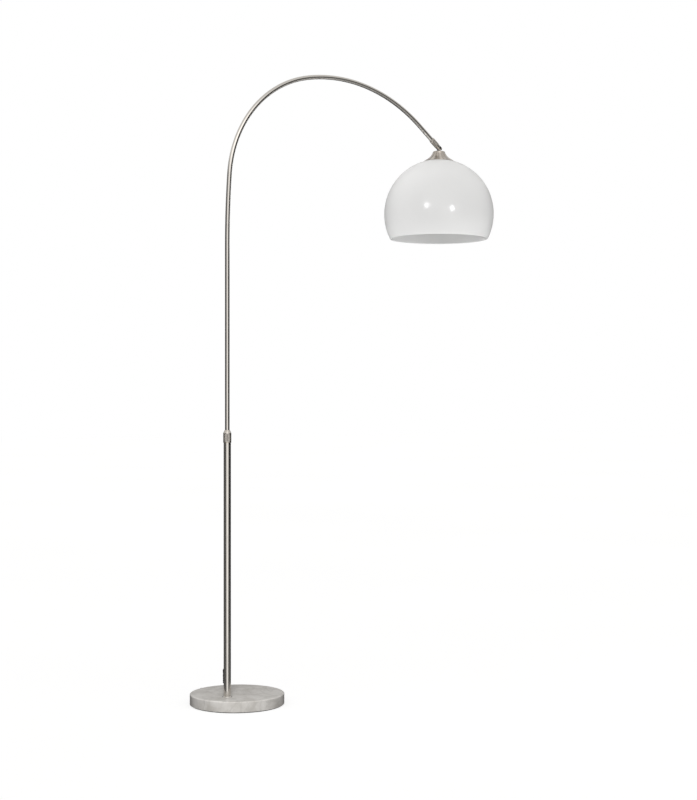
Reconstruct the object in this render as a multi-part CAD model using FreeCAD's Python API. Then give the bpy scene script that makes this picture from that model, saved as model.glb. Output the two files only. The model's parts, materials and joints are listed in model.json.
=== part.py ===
import FreeCAD, Part
import math
import os

# Arc floor lamp. Millimetres, +Z up, origin at the centre of the base's underside on the floor.
# The arm reaches along +X. The mains cord lies behind the lamp, towards +Y.

V = FreeCAD.Vector
UP = V(0, 0, 1)
os.makedirs("parts", exist_ok=True)

# ---- how far a cut runs past its face, and how near an edge is picked ----
CUT_OVER = 1.0
PICK = 0.1

# ---- base ----
BASE_R = 125.0
BASE_TOP = 30.0
BASE_EDGE_R = 3.0
FELT_R = 121.0
FELT_T = 2.0
PLATE_R = 112.0
PLATE_T = 9.0
PLATE_GAP = 0.5
WASHER_R = 24.0
WASHER_T = 3.0
BOLT_R = 5.0
BOLT_AF = 17.0
BOLT_HEAD_T = 5.8
BOLT_LEN = 36.0
BOLT_HOLE_R = 5.5
BOLT_WELL_R = 26.0

# ---- pole: stands off the base's centre ----
POLE_OFFSET = 63.0
POLE_BEARING = 35.0
POLE_X = -POLE_OFFSET * math.cos(math.radians(POLE_BEARING))
POLE_Y = -POLE_OFFSET * math.sin(math.radians(POLE_BEARING))
POLE_R = 9.5
POLE_BORE_R = 8.3
POLE_TOP = 694.0
FLANGE_R = 13.0
FLANGE_T = 2.6
FLANGE_EDGE_T = 1.2
FLANGE_BEVEL = 1.4
PLUG_LEN = 30.0
THREAD_R = 5.0

# ---- height clamp ----
SLEEVE_LOW = 640.0
SLEEVE_BORE_R = 7.3
NECK_R = 8.8
NECK_TOP = 710.0
COLLAR_R = 10.6
COLLAR_LOW = 694.5
COLLAR_HIGH = 719.3
CONE_TOP = 727.4
CONE_TOP_R = 7.0
COLLAR_NOSE_T = 1.2
COLLAR_NOSE_GAP = 0.3
COLLAR_TAPER_RISE = 1.0
COLLAR_LIP = 1.6
KNURL_COUNT = 36
KNURL_DEPTH = 0.35
COLLET_LOW = 676.0
COLLET_HEAD_LOW = 711.0
COLLET_TOP = 726.0
COLLET_HEAD_R = 8.4
COLLET_HEAD_RIM = 7.0
COLLET_NOSE_T = 0.5
COLLET_NOSE_DROP = 1.4
COLLET_SLIT = 1.2
COLLET_SLIT_LOW = 688.0
RUN_FIT = 0.05

# ---- arm ----
ARM_R = 6.0
ARM_WALL = 1.0
ARM_LOW = 585.0
BUSH_LEN = 20.0
BUSH_STOP_GAP = 0.6
BUSH_SLACK = 0.1
BOW_START = 1207.2
BOW_LEN = 190.0
BOW_TURN = 4.0
ARC1_R = 310.2
ARC1_TURN = 73.9
ARC2_R = 457.9
ARC2_TURN = 50.8
ARM_END_STRAIGHT = 90.4

# ---- knuckle, measured along the arm's end from the pivot ----
END_SLEEVE_R = 7.8
END_SLEEVE_FAR = 34.0
END_SLEEVE_NEAR = 9.0
END_SLEEVE_KNURLS = 28
END_SLEEVE_LIP = 3.0
TUBE_INTO_SLEEVE = 3.0
FORK_R = 7.2
FORK_SLOT = 5.0
FORK_SLOT_DEPTH = 8.6
PLUG_SHANK = 30.0
TONGUE_T = 4.0
TONGUE_R = 5.6
PIVOT_R = 2.0
PIVOT_FIT = 0.05
PIVOT_HEAD_R = 3.4
PIVOT_HEAD_T = 1.6
PIVOT_HEAD_SLACK = 0.3
PIVOT_HEAD_SINK = 0.1
PIVOT_DRIVE_W = 0.7
PIVOT_DRIVE_H = 0.9
FRICTION_WASHER_T = 0.4
FRICTION_WASHER_R = 4.8
TONGUE_WEB_INSET = 0.8
WIRE_BORE_R = 2.6

# ---- head, heights below the pivot ----
CAP_DROP = 9.4
CAP_NECK_R = 17.8
CAP_SHOULDER = 4.8
CAP_FLARE = ((20.7, -9.9), (28.1, -18.6), (43.0, -28.7))
CAP_FLARE_INSET = ((0.95, 0.2), (0.7, 0.6))
CAP_WALL = 1.0
CAP_HOLE_GAP = 0.2
STEM_R = 5.0
STEM_LEN = 22.0
STEM_COLLAR_R = 8.0
STEM_COLLAR_T = 0.6
STEM_BORE_R = 3.0
STEM_SOLID = 3.0
STEM_NUT_AF = 14.0
STEM_NUT_T = 4.0
SHADE_R = 157.0
SHADE_WALL = 2.5
SHADE_DROP = 190.3
SHADE_DEPTH = 70.0
SHADE_HOLE_R = 20.6
HOLDER_R = 19.5
HOLDER_TOP_DROP = 20.0
HOLDER_SPLIT_DROP = 45.0
HOLDER_LOW_DROP = 78.0
HOLDER_WALL = 2.0
HOLDER_DOME = ((12.0, 0.0), (17.6, 4.0), (19.5, 9.0))
HOLDER_DOME_IN = ((17.5, 9.6), (16.0, 5.6), (11.4, 2.0))
HOLDER_SCREW_GAP = 1.0
INSERT_R = 17.2
INSERT_T = 8.8
TERMINAL_X = 9.0
TERMINAL_HOLE_R = 1.6
TERMINAL_R = 1.5
TERMINAL_H = 8.0
LEAF = (8.0, 4.0, 0.6)
LEAF_GAP = 0.1
INSERT_GAP = 0.2
RING_R = 26.0
RING_T = 3.0
RING_GAP = 0.1
BULB_R = 30.0
BULB_LOW_DROP = 160.0
BULB_CAP_R = 13.0
BULB_CAP_LEN = 24.0
BULB_NECK_R = 14.0
BULB_CAP_TIP_R = 5.0
BULB_CAP_TIP_T = 1.6
BULB_CAP_OUT = 2.0
BULB_FLANK = ((26.0, 18.0), (18.0, 36.0))

# ---- cord ----
FLEX_R = 2.5
GLAND_BEARING = 82.0
GLAND_OUT = 16.5
GLAND_ELBOW_Z = 97.0
GLAND_R = 5.2
GLAND_END_R = 4.6
GLAND_END_Z = 64.0
GLAND_BORE_R = 4.0
GLAND_FIT = 0.1
GLAND_BLOCK_R = 4.8
GLAND_STAND_OFF = 0.5
FLEX_GAP = 0.5
COIL_MEAN_R = 27.5
COIL_WIDTH = 23.0
COIL_H = 10.0
COIL_AT = (-75.0, 152.0)
COIL_LIFT = 1.0
TIE_W = 8.0
TIE_T = 1.0
TIE_BEARING = 160.0
FLOOR_Z = FLEX_R + COIL_LIFT

# ---- in-line switch and plug ----
SWITCH_AT = (34.0, 141.5)
SWITCH_HEADING = -10.0
SWITCH_L = 60.0
SWITCH_W = 26.0
SWITCH_H = 16.0
SWITCH_WALL = 1.8
ROCKER_L = 17.0
ROCKER_W = 11.0
ROCKER_GAP = 0.4
ROCKER_DROP = 4.0
ROCKER_OUTLINE = ((-8.0, -1.5), (8.0, -1.5), (6.4, 5.5), (0.0, 4.2), (-7.8, 2.9))
ROCKER_AXLE_R = 1.2
ROCKER_AXLE_OUT = 0.9
SWITCH_ROUND = 1.5
SWITCH_POST_R = 3.2
SWITCH_POST_OVERLAP = 0.2
SWITCH_SCREW_X = 17.0
SCREW_R = 1.4
SCREW_HOLE_R = 1.5
SCREW_HOLE_DEPTH = 5.0
SCREW_HEAD_R = 2.6
SCREW_HEAD_T = 1.6
SCREW_SINK = 0.9
SCREW_SINK_R = 2.8
SCREW_LEN = 9.5
SCREW_SLOT = 0.7
FLEX_IN_SWITCH = 12.0
CONTACT = (4.0, 6.0, 1.0)
CONTACT_X = (-8.0, 4.0)
PLUG_AT = (67.9, 186.6)
PLUG_RELIEF = 25.0
PLUG_LEN_BODY = 36.0
PLUG_W = 35.0
PLUG_H = 13.7
PLUG_EDGE = 2.4
PLUG_NOSE_W = 14.0
PLUG_TAPER = 14.0
RELIEF_R = 3.2
RELIEF_GAP = 1.2
PIN_R = 2.0
PIN_ROOT_R = 1.5
PIN_ROOT_LEN = 14.0
PIN_ROUND = 1.0
PIN_LEN = 19.0
PIN_PITCH = 18.6

# The cord's stored lie is laid out on axes turned from the row's: "across" and "behind" the lamp.
LAY_TURN = -35.0


def lay(across, behind, z=0.0):
    """A point of the cord's layout, given across and behind the lamp, in the row's axes."""
    t = math.radians(LAY_TURN)
    c = math.cos(t)
    s = math.sin(t)
    return V(across * c - behind * s, across * s + behind * c, z)


def save(shape, node):
    """Write one sub-part and print its volume."""
    shape.exportStep("parts/" + node + ".step")
    print(node, len(shape.Solids), round(shape.Volume, 1), shape.isValid())


def at_pole(z):
    return V(POLE_X, POLE_Y, z)


def disc(r, z0, z1, x=0.0, y=0.0):
    return Part.makeCylinder(r, z1 - z0, V(x, y, z0), UP)


def pole_ring(r_out, r_in, z0, z1):
    """A ring on the pole's axis."""
    outer = Part.makeCylinder(r_out, z1 - z0, at_pole(z0), UP)
    inner = Part.makeCylinder(r_in, z1 - z0, at_pole(z0), UP)
    return outer.cut(inner)


def hexagon(across_flats, height, centre):
    r = across_flats / math.sqrt(3.0)
    corners = []
    for i in range(7):
        a = math.radians(60.0 * i)
        corners.append(centre + V(r * math.cos(a), r * math.sin(a), 0))
    return Part.Face(Part.makePolygon(corners)).extrude(V(0, 0, height))


def revolve(points, centre):
    """Turn a closed outline of (radius, height) points about a vertical axis."""
    wire = Part.makePolygon([centre + V(r, 0, z) for r, z in points + points[:1]])
    return Part.Face(wire).revolve(centre, UP, 360)


def edge(a, b):
    return Part.LineSegment(a, b).toShape()


# ---------------- the arm's centreline ----------------

def arm_stations():
    """Straight and curved stretches of the arm's centreline, lowest first."""
    place = V(POLE_X, POLE_Y, BOW_START)
    turn = 0.0
    stretches = []
    bow_r = BOW_LEN / math.radians(BOW_TURN)
    for radius, degrees in ((bow_r, BOW_TURN), (ARC1_R, ARC1_TURN), (ARC2_R, ARC2_TURN)):
        a = math.radians(turn)
        centre = place + V(radius * math.cos(a), 0, -radius * math.sin(a))
        stretches.append((place, turn, centre, degrees))
        b = math.radians(turn + degrees)
        place = centre + V(-radius * math.cos(b), 0, radius * math.sin(b))
        turn += degrees
    a = math.radians(turn)
    heading = V(math.sin(a), 0, math.cos(a))
    return stretches, place, heading, turn


STRETCHES, ARM_LAST_BEND, ARM_HEADING, ARM_END_TURN = arm_stations()
PIVOT = ARM_LAST_BEND + ARM_HEADING * ARM_END_STRAIGHT


def along_arm(r_out, r_in, z_low, end):
    """A tube or rod that follows the arm's centreline from z_low to a point near the pivot."""
    def section(place, heading):
        ring = Part.Face(Part.Wire(Part.makeCircle(r_out, place, heading)))
        if r_in > 0:
            ring = ring.cut(Part.Face(Part.Wire(Part.makeCircle(r_in, place, heading))))
        return ring
    low = at_pole(z_low)
    pieces = [section(low, UP).extrude(at_pole(BOW_START) - low)]
    for place, turn, centre, degrees in STRETCHES:
        a = math.radians(turn)
        heading = V(math.sin(a), 0, math.cos(a))
        pieces.append(section(place, heading).revolve(centre, V(0, 1, 0), degrees))
    pieces.append(section(ARM_LAST_BEND, ARM_HEADING).extrude(end - ARM_LAST_BEND))
    return pieces[0].multiFuse(pieces[1:]).removeSplitter()


def on_end(distance):
    """A point on the arm's end axis, so far back from the pivot."""
    return PIVOT - ARM_HEADING * distance


def end_rod(radius, far, near):
    return Part.makeCylinder(radius, far - near, on_end(far), ARM_HEADING)


# ---------------- stand ----------------

def felt_pad():
    return disc(FELT_R, 0, FELT_T)


def weight_plate():
    plate = disc(PLATE_R, FELT_T, FELT_T + PLATE_T)
    well = disc(BOLT_WELL_R, FELT_T, FELT_T + PLATE_T, POLE_X, POLE_Y)
    return plate.cut(well)


def marble_base():
    body = disc(BASE_R, FELT_T, BASE_TOP)
    rims = [e for e in body.Edges if abs(e.BoundBox.ZMin - BASE_TOP) < 0.1 and e.BoundBox.XLength > 1]
    body = body.makeFillet(BASE_EDGE_R, rims)
    recess = disc(PLATE_R + PLATE_GAP, FELT_T, FELT_T + PLATE_T)
    hole = disc(BOLT_HOLE_R, FELT_T, BASE_TOP, POLE_X, POLE_Y)
    return body.cut(recess).cut(hole)


def foot_washer():
    z = FELT_T + PLATE_T
    return pole_ring(WASHER_R, BOLT_HOLE_R, z - WASHER_T, z)


def foot_bolt():
    z = FELT_T + PLATE_T - WASHER_T
    head = hexagon(BOLT_AF, BOLT_HEAD_T, at_pole(z - BOLT_HEAD_T))
    shank = Part.makeCylinder(BOLT_R, BOLT_LEN, at_pole(z), UP)
    return head.fuse(shank).removeSplitter()


def foot_plug():
    return pole_ring(POLE_BORE_R, THREAD_R, BASE_TOP, BASE_TOP + PLUG_LEN)


def pole_flange():
    outline = [
        (POLE_R, 0), (FLANGE_R, 0), (FLANGE_R, FLANGE_EDGE_T), (FLANGE_R - FLANGE_BEVEL, FLANGE_T),
        (POLE_R, FLANGE_T),
    ]
    return revolve(outline, at_pole(BASE_TOP))


def gland_heading():
    t = math.radians(GLAND_BEARING)
    return V(math.cos(t), math.sin(t), 0)


def lower_pole():
    tube = pole_ring(POLE_R, POLE_BORE_R, BASE_TOP, POLE_TOP)
    hole = Part.makeCylinder(GLAND_BORE_R, 2 * POLE_R, at_pole(GLAND_ELBOW_Z), gland_heading())
    return tube.cut(hole)


def pole_top_sleeve():
    """Pressed into the pole's top, with the neck that the collar's thread runs on."""
    inside = pole_ring(POLE_BORE_R, SLEEVE_BORE_R, SLEEVE_LOW, POLE_TOP)
    neck = pole_ring(NECK_R, SLEEVE_BORE_R, POLE_TOP, NECK_TOP)
    return inside.fuse(neck).removeSplitter()


def collar_nut():
    """Knurled nut: a cylinder with a conical nose that squeezes the collet."""
    bore = NECK_R + RUN_FIT
    nose_bore = ARM_R + COLLAR_NOSE_GAP
    outline = [
        (bore, COLLAR_LOW), (COLLAR_R, COLLAR_LOW), (COLLAR_R, COLLAR_HIGH), (CONE_TOP_R, CONE_TOP),
        (nose_bore, CONE_TOP), (nose_bore, CONE_TOP - COLLAR_NOSE_T),
        (bore, COLLAR_HIGH + COLLAR_TAPER_RISE),
    ]
    nut = revolve(outline, at_pole(0))
    grooves = []
    for i in range(KNURL_COUNT):
        a = 2 * math.pi * i / KNURL_COUNT
        spot = at_pole(COLLAR_LOW + COLLAR_LIP) + V(COLLAR_R * math.cos(a), COLLAR_R * math.sin(a), 0)
        grooves.append(Part.makeCylinder(KNURL_DEPTH, COLLAR_HIGH - COLLAR_LOW - 2 * COLLAR_LIP, spot, UP))
    return nut.cut(Part.makeCompound(grooves))


def collet():
    """Split bush between the sleeve and the arm, with a tapered head under the nut's nose."""
    outer = SLEEVE_BORE_R - RUN_FIT
    bore = ARM_R + RUN_FIT
    nose_z = COLLET_TOP - COLLET_NOSE_DROP
    outline = [
        (bore, COLLET_LOW), (outer, COLLET_LOW), (outer, COLLET_HEAD_LOW),
        (COLLET_HEAD_R, COLLET_HEAD_LOW), (COLLET_HEAD_R, COLLET_HEAD_LOW + COLLET_HEAD_RIM),
        (bore + COLLET_NOSE_T, nose_z), (bore, nose_z),
    ]
    bush = revolve(outline, at_pole(0))
    for bearing in (45, 135):
        slit = Part.makeBox(4 * POLE_R, COLLET_SLIT, COLLET_TOP - COLLET_SLIT_LOW)
        slit.translate(V(-2 * POLE_R, -COLLET_SLIT / 2, COLLET_SLIT_LOW))
        slit.rotate(V(0, 0, 0), UP, bearing)
        slit.translate(at_pole(0))
        bush = bush.cut(slit)
    return bush


# ---------------- arm ----------------

def arm_tube():
    return along_arm(ARM_R, ARM_R - ARM_WALL, ARM_LOW, on_end(END_SLEEVE_NEAR + TUBE_INTO_SLEEVE))


def guide_bush():
    top = SLEEVE_LOW - BUSH_STOP_GAP
    return pole_ring(POLE_BORE_R - BUSH_SLACK, ARM_R, top - BUSH_LEN, top)


def arm_flex():
    return along_arm(FLEX_R, 0, ARM_LOW, on_end(END_SLEEVE_NEAR + PLUG_SHANK))


def pole_flex():
    z0 = GLAND_ELBOW_Z + GLAND_BORE_R + FLEX_GAP
    return Part.makeCylinder(FLEX_R, ARM_LOW - FLEX_GAP - z0, at_pole(z0), UP)


def fork_plug():
    """Plug in the arm's end: a shank in the tube, then two ears about the pivot."""
    shank = end_rod(ARM_R - ARM_WALL, END_SLEEVE_NEAR + PLUG_SHANK, END_SLEEVE_NEAR)
    ears = end_rod(FORK_R, END_SLEEVE_NEAR, 0.0)
    side = V(0, 1, 0)
    nose = Part.makeCylinder(FORK_R, 2 * FORK_R, PIVOT - side * FORK_R, side)
    nose = nose.common(end_rod(FORK_R, END_SLEEVE_NEAR, -2 * FORK_R))
    body = shank.fuse(ears).fuse(nose).removeSplitter()
    slot = Part.makeBox(4 * FORK_R, FORK_SLOT, 4 * FORK_R)
    slot.translate(V(-2 * FORK_R, -FORK_SLOT / 2, -FORK_SLOT_DEPTH))
    slot.rotate(V(0, 0, 0), side, ARM_END_TURN)
    slot.translate(PIVOT)
    bolt_hole = Part.makeCylinder(PIVOT_R, 4 * FORK_R, PIVOT - side * 2 * FORK_R, side)
    wire = end_rod(WIRE_BORE_R, END_SLEEVE_NEAR + PLUG_SHANK, 0.0)
    body = body.cut(slot).cut(bolt_hole).cut(wire)
    flat = FORK_R - PIVOT_HEAD_T
    for sign in (1, -1):
        start = PIVOT + side * sign * flat
        body = body.cut(Part.makeCylinder(PIVOT_HEAD_R + PIVOT_HEAD_SLACK, 2 * FORK_R, start, side * sign))
    return body


def head_sleeve():
    """Knurled sleeve over the joint of tube and fork."""
    body = end_rod(END_SLEEVE_R, END_SLEEVE_FAR, END_SLEEVE_NEAR)
    body = body.cut(end_rod(ARM_R, END_SLEEVE_FAR, END_SLEEVE_NEAR))
    across = ARM_HEADING.cross(V(0, 1, 0))
    span = END_SLEEVE_FAR - END_SLEEVE_NEAR - 2 * END_SLEEVE_LIP
    grooves = []
    for i in range(END_SLEEVE_KNURLS):
        a = 2 * math.pi * i / END_SLEEVE_KNURLS
        out = V(0, 1, 0) * (END_SLEEVE_R * math.cos(a)) + across * (END_SLEEVE_R * math.sin(a))
        start = on_end(END_SLEEVE_FAR - END_SLEEVE_LIP) + out
        grooves.append(Part.makeCylinder(KNURL_DEPTH, span, start, ARM_HEADING))
    return body.cut(Part.makeCompound(grooves))


def pivot_bolt():
    side = V(0, 1, 0)
    flat = FORK_R - PIVOT_HEAD_T
    crown = FORK_R - PIVOT_HEAD_SINK
    shank = Part.makeCylinder(PIVOT_R, 2 * flat, PIVOT - side * flat, side)
    head = Part.makeCylinder(PIVOT_HEAD_R, crown - flat, PIVOT - side * crown, side)
    drive = Part.makeBox(4 * PIVOT_HEAD_R, PIVOT_DRIVE_W, PIVOT_DRIVE_H)
    drive.translate(PIVOT + V(-2 * PIVOT_HEAD_R, -crown, -PIVOT_DRIVE_H / 2))
    return shank.fuse(head).removeSplitter().cut(drive)


def pivot_nut():
    side = V(0, 1, 0)
    flat = FORK_R - PIVOT_HEAD_T
    return Part.makeCylinder(PIVOT_HEAD_R, PIVOT_HEAD_T - PIVOT_HEAD_SINK, PIVOT + side * flat, side)


def friction_washers():
    side = V(0, 1, 0)
    rings = []
    for sign in (1, -1):
        start = PIVOT + side * (sign * FORK_SLOT / 2)
        outer = Part.makeCylinder(FRICTION_WASHER_R, FRICTION_WASHER_T, start, side * -sign)
        inner = Part.makeCylinder(PIVOT_R, FRICTION_WASHER_T, start, side * -sign)
        rings.append(outer.cut(inner))
    return Part.makeCompound(rings)


# ---------------- head ----------------

def head_ring(r_out, r_in, drop_top, drop_low):
    """A ring on the shade's axis, between two depths below the pivot."""
    base = PIVOT - V(0, 0, drop_low)
    outer = Part.makeCylinder(r_out, drop_low - drop_top, base, UP)
    if r_in <= 0:
        return outer
    return outer.cut(Part.makeCylinder(r_in, drop_low - drop_top, base, UP))


def tongue_stem():
    """Flat tongue about the pivot on a hollow threaded stem that carries the whole head."""
    side = V(0, 1, 0)
    low = CAP_DROP + STEM_LEN
    half = TONGUE_R - TONGUE_WEB_INSET
    eye = Part.makeCylinder(TONGUE_R, TONGUE_T, PIVOT - side * (TONGUE_T / 2), side)
    web = Part.makeBox(2 * half, TONGUE_T, CAP_DROP)
    web.translate(PIVOT + V(-half, -TONGUE_T / 2, -CAP_DROP))
    collar = head_ring(STEM_COLLAR_R, 0, CAP_DROP - STEM_COLLAR_T, CAP_DROP)
    stem = head_ring(STEM_R, 0, CAP_DROP, low)
    body = eye.multiFuse([web, collar, stem]).removeSplitter()
    hole = Part.makeCylinder(PIVOT_R + PIVOT_FIT, TONGUE_T, PIVOT - side * (TONGUE_T / 2), side)
    return body.cut(hole).cut(head_ring(STEM_BORE_R, 0, CAP_DROP + STEM_SOLID, low))


def cap_profile(inset):
    """Shoulder arc and flare of the bell, drawn inwards by a wall's thickness."""
    round_r = CAP_SHOULDER - inset
    corner = V(CAP_NECK_R - CAP_SHOULDER, 0, -CAP_SHOULDER)
    start = corner + V(0, 0, round_r)
    halfway = corner + V(round_r * math.sin(math.pi / 4), 0, round_r * math.cos(math.pi / 4))
    end = corner + V(round_r, 0, 0)
    upper, lower, lip = CAP_FLARE
    upper_in, lower_in = CAP_FLARE_INSET
    spots = [
        end,
        V(upper[0] - inset * upper_in[0], 0, upper[1] - inset * upper_in[1]),
        V(lower[0] - inset * lower_in[0], 0, lower[1] - inset * lower_in[1]),
        V(lip[0], 0, lip[1] - inset),
    ]
    flare = Part.BSplineCurve()
    flare.interpolate(spots)
    return start, spots[-1], Part.Arc(start, halfway, end).toShape(), flare.toShape()


def bell_cap():
    """Spun bell: flat top with a round shoulder, then a flare down to a wide lip."""
    top_out, lip_out, arc_out, flare_out = cap_profile(0.0)
    top_in, lip_in, arc_in, flare_in = cap_profile(CAP_WALL)
    hole_out = V(STEM_R + CAP_HOLE_GAP, 0, 0)
    hole_in = V(STEM_R + CAP_HOLE_GAP, 0, -CAP_WALL)
    edges = [
        edge(hole_out, top_out), arc_out, flare_out, edge(lip_out, lip_in), flare_in, arc_in,
        edge(top_in, hole_in), edge(hole_in, hole_out),
    ]
    body = Part.Face(Part.Wire(Part.__sortEdges__(edges))).revolve(V(0, 0, 0), UP, 360)
    body.translate(PIVOT - V(0, 0, CAP_DROP))
    return body


def stem_nut():
    low = PIVOT - V(0, 0, CAP_DROP + CAP_WALL + STEM_NUT_T)
    return hexagon(STEM_NUT_AF, STEM_NUT_T, low).cut(Part.makeCylinder(STEM_R, STEM_NUT_T, low, UP))


def lampholder_cap():
    """Domed upper half of the lampholder, screwed on the stem."""
    top = -HOLDER_TOP_DROP
    low = -HOLDER_SPLIT_DROP
    outline = [(STEM_R, top)]
    outline += [(r, top - drop) for r, drop in HOLDER_DOME]
    outline += [(HOLDER_R, low), (HOLDER_R - HOLDER_WALL, low)]
    outline += [(r, top - drop) for r, drop in HOLDER_DOME_IN]
    outline += [(STEM_R, top - HOLDER_WALL)]
    return revolve(outline, PIVOT)


def lampholder_body():
    """Threaded lower half that the bulb's cap screws into."""
    return head_ring(HOLDER_R, BULB_NECK_R + HOLDER_SCREW_GAP, HOLDER_SPLIT_DROP, HOLDER_LOW_DROP)


def lampholder_insert():
    low = HOLDER_SPLIT_DROP - INSERT_GAP
    body = head_ring(INSERT_R, 0, low - INSERT_T, low)
    for x in (-TERMINAL_X, TERMINAL_X):
        foot = PIVOT + V(x, 0, -low - CUT_OVER)
        body = body.cut(Part.makeCylinder(TERMINAL_HOLE_R, 2 * INSERT_T, foot, UP))
    return body


def lampholder_contacts():
    """Centre spring leaf under the insert and two terminal posts in it."""
    low = HOLDER_SPLIT_DROP - INSERT_GAP
    leaf = Part.makeBox(*LEAF)
    leaf.translate(PIVOT + V(-LEAF[0] / 2, -LEAF[1] / 2, -low - LEAF[2] - LEAF_GAP))
    posts = []
    for x in (-TERMINAL_X, TERMINAL_X):
        posts.append(Part.makeCylinder(TERMINAL_R, TERMINAL_H, PIVOT + V(x, 0, -low + LEAF_GAP), UP))
    return Part.makeCompound([leaf] + posts)


def sphere_drop(radius, at_radius):
    """Depth below the pivot of a sphere about the shade's centre, at a distance from its axis."""
    return SHADE_DROP - math.sqrt(radius * radius - at_radius * at_radius)


def upper_shade_ring():
    low = sphere_drop(SHADE_R, SHADE_HOLE_R) - RING_GAP
    return head_ring(RING_R, HOLDER_R, low - RING_T, low)


def lower_shade_ring():
    top = sphere_drop(SHADE_R - SHADE_WALL, RING_R) + RING_GAP
    return head_ring(RING_R, HOLDER_R, top, top + RING_T)


def shade():
    """Truncated sphere, open below, with a neck hole for the lampholder and a rolled rim."""
    centre = PIVOT - V(0, 0, SHADE_DROP)
    inner = SHADE_R - SHADE_WALL
    rim_z = -SHADE_DEPTH

    def on(radius, z):
        return V(math.sqrt(radius * radius - z * z), 0, z)

    def at_r(radius, r):
        return V(r, 0, math.sqrt(radius * radius - r * r))
    top_out = at_r(SHADE_R, SHADE_HOLE_R)
    top_in = at_r(inner, SHADE_HOLE_R)
    rim_out = on(SHADE_R, rim_z)
    rim_in = on(inner, rim_z)
    rim_mid = V((rim_out.x + rim_in.x) / 2, 0, rim_z - SHADE_WALL / 2)
    wire = Part.Wire(Part.__sortEdges__([
        Part.Arc(top_out, V(SHADE_R, 0, 0), rim_out).toShape(),
        Part.Arc(rim_out, rim_mid, rim_in).toShape(),
        Part.Arc(rim_in, V(inner, 0, 0), top_in).toShape(),
        edge(top_in, top_out),
    ]))
    body = Part.Face(wire).revolve(V(0, 0, 0), UP, 360)
    body.translate(centre)
    return body


def bulb_glass():
    """Round-topped bulb hanging cap up: sphere below, tapering to the neck."""
    low = -BULB_LOW_DROP
    centre_z = low + BULB_R
    neck_z = -HOLDER_LOW_DROP - BULB_CAP_OUT
    tip = V(0, 0, low)
    widest = V(BULB_R, 0, centre_z)
    neck = V(BULB_NECK_R, 0, neck_z)
    halfway = V(BULB_R * math.sin(math.pi / 4), 0, centre_z - BULB_R * math.cos(math.pi / 4))
    flank = Part.BSplineCurve()
    flank.interpolate([widest] + [V(r, 0, centre_z + rise) for r, rise in BULB_FLANK] + [neck])
    wire = Part.Wire(Part.__sortEdges__([
        Part.Arc(tip, halfway, widest).toShape(), flank.toShape(), edge(neck, V(0, 0, neck_z)),
        edge(V(0, 0, neck_z), tip),
    ]))
    body = Part.Face(wire).revolve(V(0, 0, 0), UP, 360)
    body.translate(PIVOT)
    return body


def bulb_cap():
    low = HOLDER_LOW_DROP + BULB_CAP_OUT
    top = low - BULB_CAP_LEN
    shell = head_ring(BULB_CAP_R, 0, top, low)
    return shell.fuse(head_ring(BULB_CAP_TIP_R, 0, top - BULB_CAP_TIP_T, top)).removeSplitter()


def head_flex():
    return head_ring(FLEX_R, 0, CAP_DROP + STEM_SOLID + FLEX_GAP, HOLDER_SPLIT_DROP - INSERT_T - FLEX_GAP)


# ---------------- mains cord ----------------

def route(points, label):
    """Straight runs joined by tangent arcs as large as the runs allow."""
    edges = []
    last = points[0]
    radii = []
    length = 0.0
    for i in range(1, len(points) - 1):
        back = points[i] - points[i - 1]
        ahead = points[i + 1] - points[i]
        half = back.getAngle(ahead) / 2
        reach = 0.45 * min(back.Length, ahead.Length)
        radii.append(round(reach / math.tan(half), 1))
        u = V(back).normalize()
        w = V(ahead).normalize()
        start = points[i] - u * reach
        end = points[i] + w * reach
        centre_way = (w - u).normalize()
        radius = reach / math.tan(half)
        centre = points[i] + centre_way * (radius / math.cos(half))
        middle = centre - centre_way * radius
        edges.append(edge(last, start))
        edges.append(Part.Arc(start, middle, end).toShape())
        length += (start - last).Length + radius * 2 * half
        last = end
    edges.append(edge(last, points[-1]))
    length += (points[-1] - last).Length
    print(label, "radii", radii, "length", round(length, 1))
    return Part.Wire(edges), length


def cord_tube(points, label):
    """Round cord along a route, with its volume compared with section times length."""
    path, length = route(points, label)
    heading = points[1] - points[0]
    ring = Part.Wire(Part.makeCircle(FLEX_R, points[0], heading))
    tube = path.makePipeShell([ring], True, False)
    print(label, "volume ratio", round(tube.Volume / (math.pi * FLEX_R ** 2 * length), 4))
    return tube


GLAND_EXIT = at_pole(GLAND_END_Z) + gland_heading() * GLAND_OUT


def cord_from_pole_points():
    """Down from the strain relief, back over the marble, off its edge and into the coil."""
    return [
        GLAND_EXIT,
        GLAND_EXIT - V(0, 0, 18.4),
        lay(-30.0, -31.2, BASE_TOP + FLEX_R),
        lay(-32.0, 5.0, BASE_TOP + FLEX_R),
        lay(-33.2, 46.0, BASE_TOP + FLEX_R + 0.8),
        lay(-32.8, 80.0, BASE_TOP + 5.6),
        lay(-32.6, 103.0, BASE_TOP + 9.6),
        lay(-33.6, 125.0, BASE_TOP + 8.6),
        lay(-36.4, 152.0, FLOOR_Z),
        lay(-46.4, 174.6, FLOOR_Z),
    ]


def cord_to_switch_points():
    """Out of the coil's upper turns to the switch, passing under the drop from the marble."""
    inlet = lay(*switch_end(-1), SWITCH_H / 2)
    lead = lay(*switch_end(-1, 22.0), SWITCH_H / 2)
    return [lay(-61.4, 117.9, 8.5), lay(-39.0, 131.4, 6.5), lead, inlet]


def cord_to_plug_points():
    """A wide turn back from the switch to the plug."""
    outlet = lay(*switch_end(1), SWITCH_H / 2)
    return [
        outlet,
        lay(*switch_end(1, 18.0), SWITCH_H / 2),
        lay(97.1, 141.6, 5.2),
        lay(104.4, 158.1, 3.4),
        lay(100.1, 175.5, 3.6),
        lay(85.9, 186.6, PLUG_H / 2),
        lay(PLUG_AT[0], PLUG_AT[1], PLUG_H / 2),
    ]


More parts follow.
